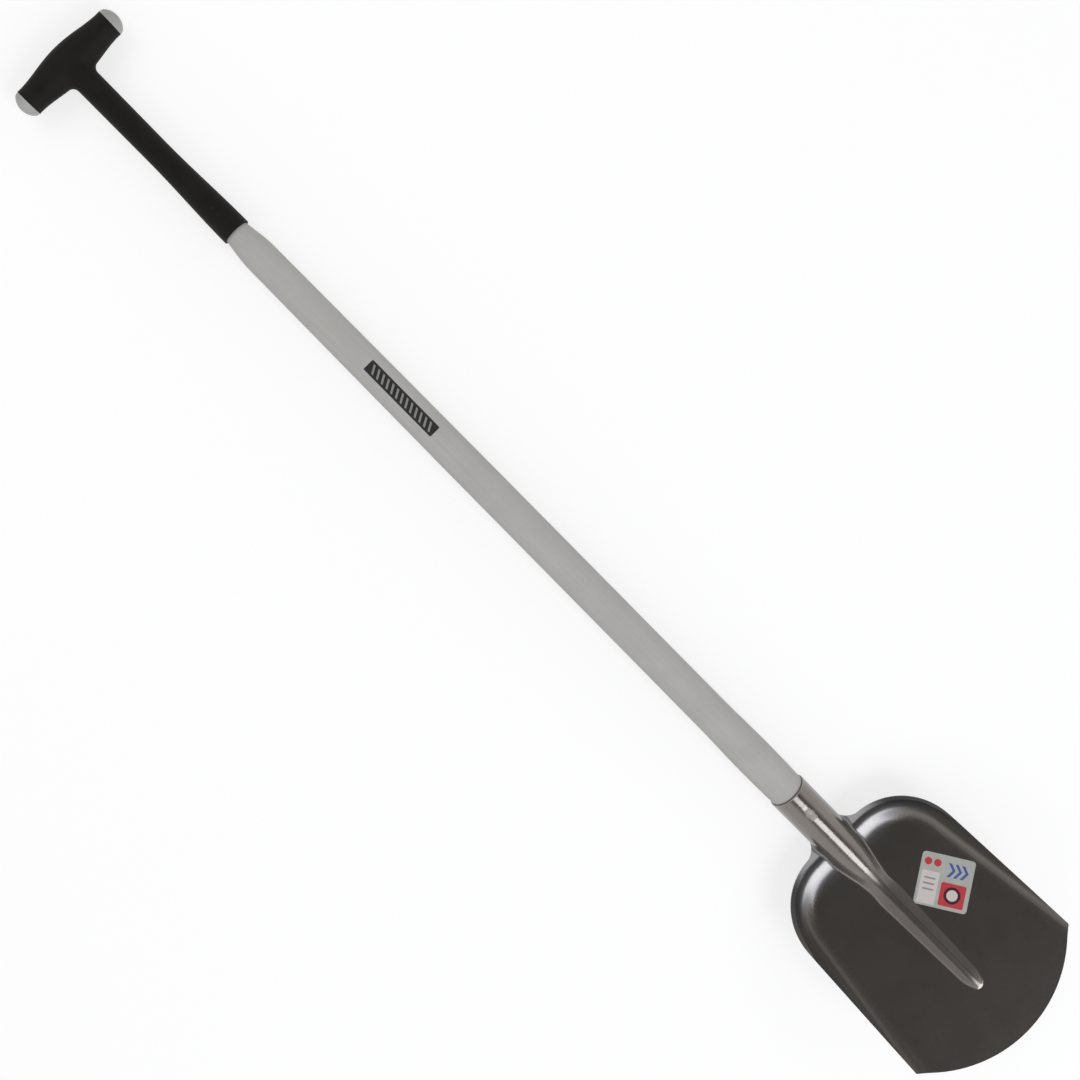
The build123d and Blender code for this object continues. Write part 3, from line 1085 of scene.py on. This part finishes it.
@dataclass
class Studio:
    """Floor, light and camera; lengths in metres, the lens in millimetres, turns in degrees."""

    camera_place: Point = (-0.27262, 0.0, 1.06922)
    camera_tilt: float = 11.625
    camera_roll: float = 45.40
    lens: float = 36.0
    sensor: float = 36.0
    nearest: float = 0.01
    floor_reach: float = 12.0
    floor_sides: int = 64
    floor_grey: Colour = (0.4, 0.4, 0.4)
    floor_roughness: float = 0.9
    floor_glow: float = 0.7
    key: SoftBox = SoftBox(
        "key", (3.33, 0.15, 2.77), (0.40, 0.0, 0.04), (1.7, 2.9), 3.6, (0.95, 0.975, 1.0)
    )
    fill: SoftBox = SoftBox("fill", (-2.4, 0.0, 1.9), (-0.1, 0.0, 0.0), (2.2, 1.6), 1.3)
    sky: tuple[Pair, ...] = ((0.0, 0.9), (0.63, 0.88), (0.79, 0.19), (1.0, 0.155))
    sky_lean: float = 6.0
    grip_end: Pair = (-0.9, -0.2)
    grip_end_level: float = 0.45

    def world(self) -> None:
        """Makes pale walls, dimmer at the grip's end, and a dark ceiling that leans to one side."""
        world = bpy.data.worlds.new("studio")
        world.use_nodes = True
        bpy.context.scene.world = world
        graph = Graph(world.node_tree)
        spot = graph.node("ShaderNodeTexCoord").outputs["Generated"]
        along, across, height = graph.axes(spot)
        lean = math.radians(self.sky_lean)
        upright = graph.times(height, math.cos(lean))
        sideways = graph.times(across, math.sin(lean))
        ramp = graph.node("ShaderNodeValToRGB")
        graph.put(ramp.inputs[0], graph.plus(upright, sideways))
        band = ramp.color_ramp
        while len(band.elements) < len(self.sky):
            band.elements.new(1.0)
        for stop, (where, level) in zip(band.elements, self.sky):
            stop.position = where
            stop.color = (level, level, level, 1.0)
        end = graph.span(along, *self.grip_end, self.grip_end_level, 1.0)
        ground = world.node_tree.nodes["Background"]
        graph.put(ground.inputs["Color"], graph.times(ramp.outputs["Color"], end))

    def floor(self, effects: Effects) -> None:
        """Lays the pale floor.

        Args:
            effects: The shared groups.
        """
        mesh = bpy.data.meshes.new("floor")
        shape = bmesh.new()
        round_plan = {"segments": self.floor_sides, "radius": self.floor_reach}
        bmesh.ops.create_circle(shape, cap_ends=True, **round_plan)
        shape.to_mesh(mesh)
        shape.free()
        floor = bpy.data.objects.new("floor", mesh)
        bpy.context.scene.collection.objects.link(floor)
        mesh.materials.append(self._floor_finish(effects))

    def _floor_finish(self, effects: Effects) -> bpy.types.Material:
        """Makes the floor's finish, which looks near white and still takes shadows.

        Args:
            effects: The shared groups.

        Returns:
            The material.
        """
        finish = Finish("pale_floor", effects)
        graph = finish.graph
        finish.set(Base_Color=self.floor_grey, Roughness=self.floor_roughness, Specular_IOR_Level=0.0)
        path = graph.node("ShaderNodeLightPath")
        seen = graph.larger(path.outputs["Is Camera Ray"], path.outputs["Is Glossy Ray"])
        seen = graph.larger(seen, path.outputs["Is Transmission Ray"])
        glow = graph.node("ShaderNodeEmission")
        graph.put(glow.inputs["Strength"], graph.times(seen, self.floor_glow))
        both = graph.node("ShaderNodeAddShader")
        graph.put(both.inputs[0], finish.shader.outputs[0])
        graph.put(both.inputs[1], glow.outputs[0])
        out = finish.material.node_tree.nodes["Material Output"]
        graph.put(out.inputs["Surface"], both.outputs[0])
        return finish.material

    def lamps(self) -> None:
        """Hangs the soft boxes."""
        for box in (self.key, self.fill):
            box.hang()

    def camera(self) -> None:
        """Sets the camera over the shaft, with the tool across the picture's diagonal."""
        tilt = math.radians(self.camera_tilt)
        along = Vector((math.cos(tilt), 0.0, math.sin(tilt)))
        across = Vector((0.0, 1.0, 0.0))
        roll = math.radians(self.camera_roll)
        right = math.cos(roll) * along + math.sin(roll) * across
        up = math.cos(roll) * across - math.sin(roll) * along
        data = bpy.data.cameras.new("camera")
        data.sensor_fit = "HORIZONTAL"
        data.sensor_width = self.sensor
        data.lens = self.lens
        data.clip_start = self.nearest
        camera = bpy.data.objects.new("camera", data)
        turn = Matrix((right, up, right.cross(up))).transposed().to_4x4()
        camera.matrix_world = Matrix.Translation(self.camera_place) @ turn
        bpy.context.scene.collection.objects.link(camera)
        bpy.context.scene.camera = camera


def wear(node: str, material: bpy.types.Material) -> None:
    """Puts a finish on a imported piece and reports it.

    Args:
        node: The piece's name.
        material: Its finish.
    """
    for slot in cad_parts[node].material_slots:
        slot.material = material
    log.info("dressed %s in %s", node, material.name)


def socket_mouth() -> float:
    """Gives the place of the socket's mouth along the tool, where the blade starts."""
    low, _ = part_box("blade")
    return low.x


@dataclass
class Blade:
    """Pressed blade with its socket, its nail and its label.

    The patch's shift from the nail is in metres, the label's place on the flat in millimetres from the
    heel, and its turn in degrees.
    """

    plan: BladePlan = BladePlan()
    patch_shift: float = 0.0007
    label_along: float = 128.4
    label_across: float = 51.0
    label_turn: float = 33.0

    def dress(self, effects: Effects) -> None:
        """Gives the blade, the nail and the label their finishes.

        Args:
            effects: The shared groups.
        """
        steel = LacqueredSteel(self.plan, socket_mouth(), self._patch_place())
        wear("blade", steel.build(effects))
        wear("socket_nail", PlainSteel("dressed_steel").build(effects))
        film = LabelFilm(self._label_middle(), self._label_lie())
        wear("blade_label", film.build(effects))

    def _patch_place(self) -> Point:
        """Works out the middle of the dressed patch from the nail.

        Returns:
            The place in metres.
        """
        low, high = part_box("socket_nail")
        nail = (low + high) / 2
        return nail.x + self.patch_shift, nail.y, nail.z

    def _label_middle(self) -> Point:
        """Works out the middle of the label on the flat of the blade.

        Returns:
            The place in metres.
        """
        slope = math.radians(self.plan.slope)
        along = Vector((math.cos(slope), 0.0, math.sin(slope)))
        across = Vector((0.0, 1.0, 0.0))
        shift = self.label_along * along + self.label_across * across
        return tuple(Vector(self.plan.heel) + MM * shift)

    def _label_lie(self) -> Point:
        """Works out how the label lies: turned on the sloping flat of the blade.

        Returns:
            The turn about each axis in degrees.
        """
        slope = Matrix.Rotation(math.radians(-self.plan.slope), 3, "Y")
        turned = slope @ Matrix.Rotation(math.radians(self.label_turn), 3, "Z")
        return tuple(math.degrees(angle) for angle in turned.to_euler())


@dataclass
class Shaft:
    """Coated ash shaft with the strip printed on its front.

    The strip's place and the depth in the socket at which the coat ends are in metres.
    """

    strip_place: Point = (-0.2501, 0.0009, 0.0195)
    strip: Plate = Plate((44.2, 6.4), 1.2)
    bare_depth: float = 0.0048

    def dress(self, effects: Effects) -> None:
        """Gives the shaft its finish.

        Args:
            effects: The shared groups.
        """
        coat = GreyCoat(self.strip_place, self.strip, socket_mouth() + self.bare_depth)
        wear("shaft", coat.build(effects))


@dataclass
class Grip:
    """Moulded T-grip with its two end caps and its pin."""

    black: Moulding = Moulding(
        "black_satin_moulding", (0.0125, 0.0108, 0.0088), roughness=0.6, gloss=0.12
    )
    grey: Moulding = Moulding("grey_satin_moulding", (0.40, 0.40, 0.39), roughness=0.4, gloss=0.4)
    pin: PlainSteel = PlainSteel("blackened_steel", (0.05, 0.048, 0.045), roughness=0.5)

    def dress(self, effects: Effects) -> None:
        """Gives the grip, the caps and the pin their finishes.

        Args:
            effects: The shared groups.
        """
        wear("grip", self.black.build(effects))
        caps = self.grey.build(effects)
        wear("left_cap", caps)
        wear("right_cap", caps)
        wear("grip_pin", self.pin.build(effects))


def clear_defaults() -> None:
    """Removes the objects that a new scene starts with."""
    for name in ("Cube", "Light", "Camera"):
        spare = bpy.data.objects.get(name)
        if spare is not None:
            bpy.data.objects.remove(spare, do_unlink=True)


def main() -> None:
    """Builds the scene in order and reports each piece."""
    logging.basicConfig(level=logging.INFO, format="%(name)s: %(message)s")
    clear_defaults()
    bpy.context.scene.view_settings.view_transform = "Standard"
    effects = Effects()
    studio = Studio()
    studio.world()
    studio.floor(effects)
    studio.lamps()
    studio.camera()
    for assembly in (Blade(), Shaft(), Grip()):
        assembly.dress(effects)


if __name__ == "__main__":
    main()
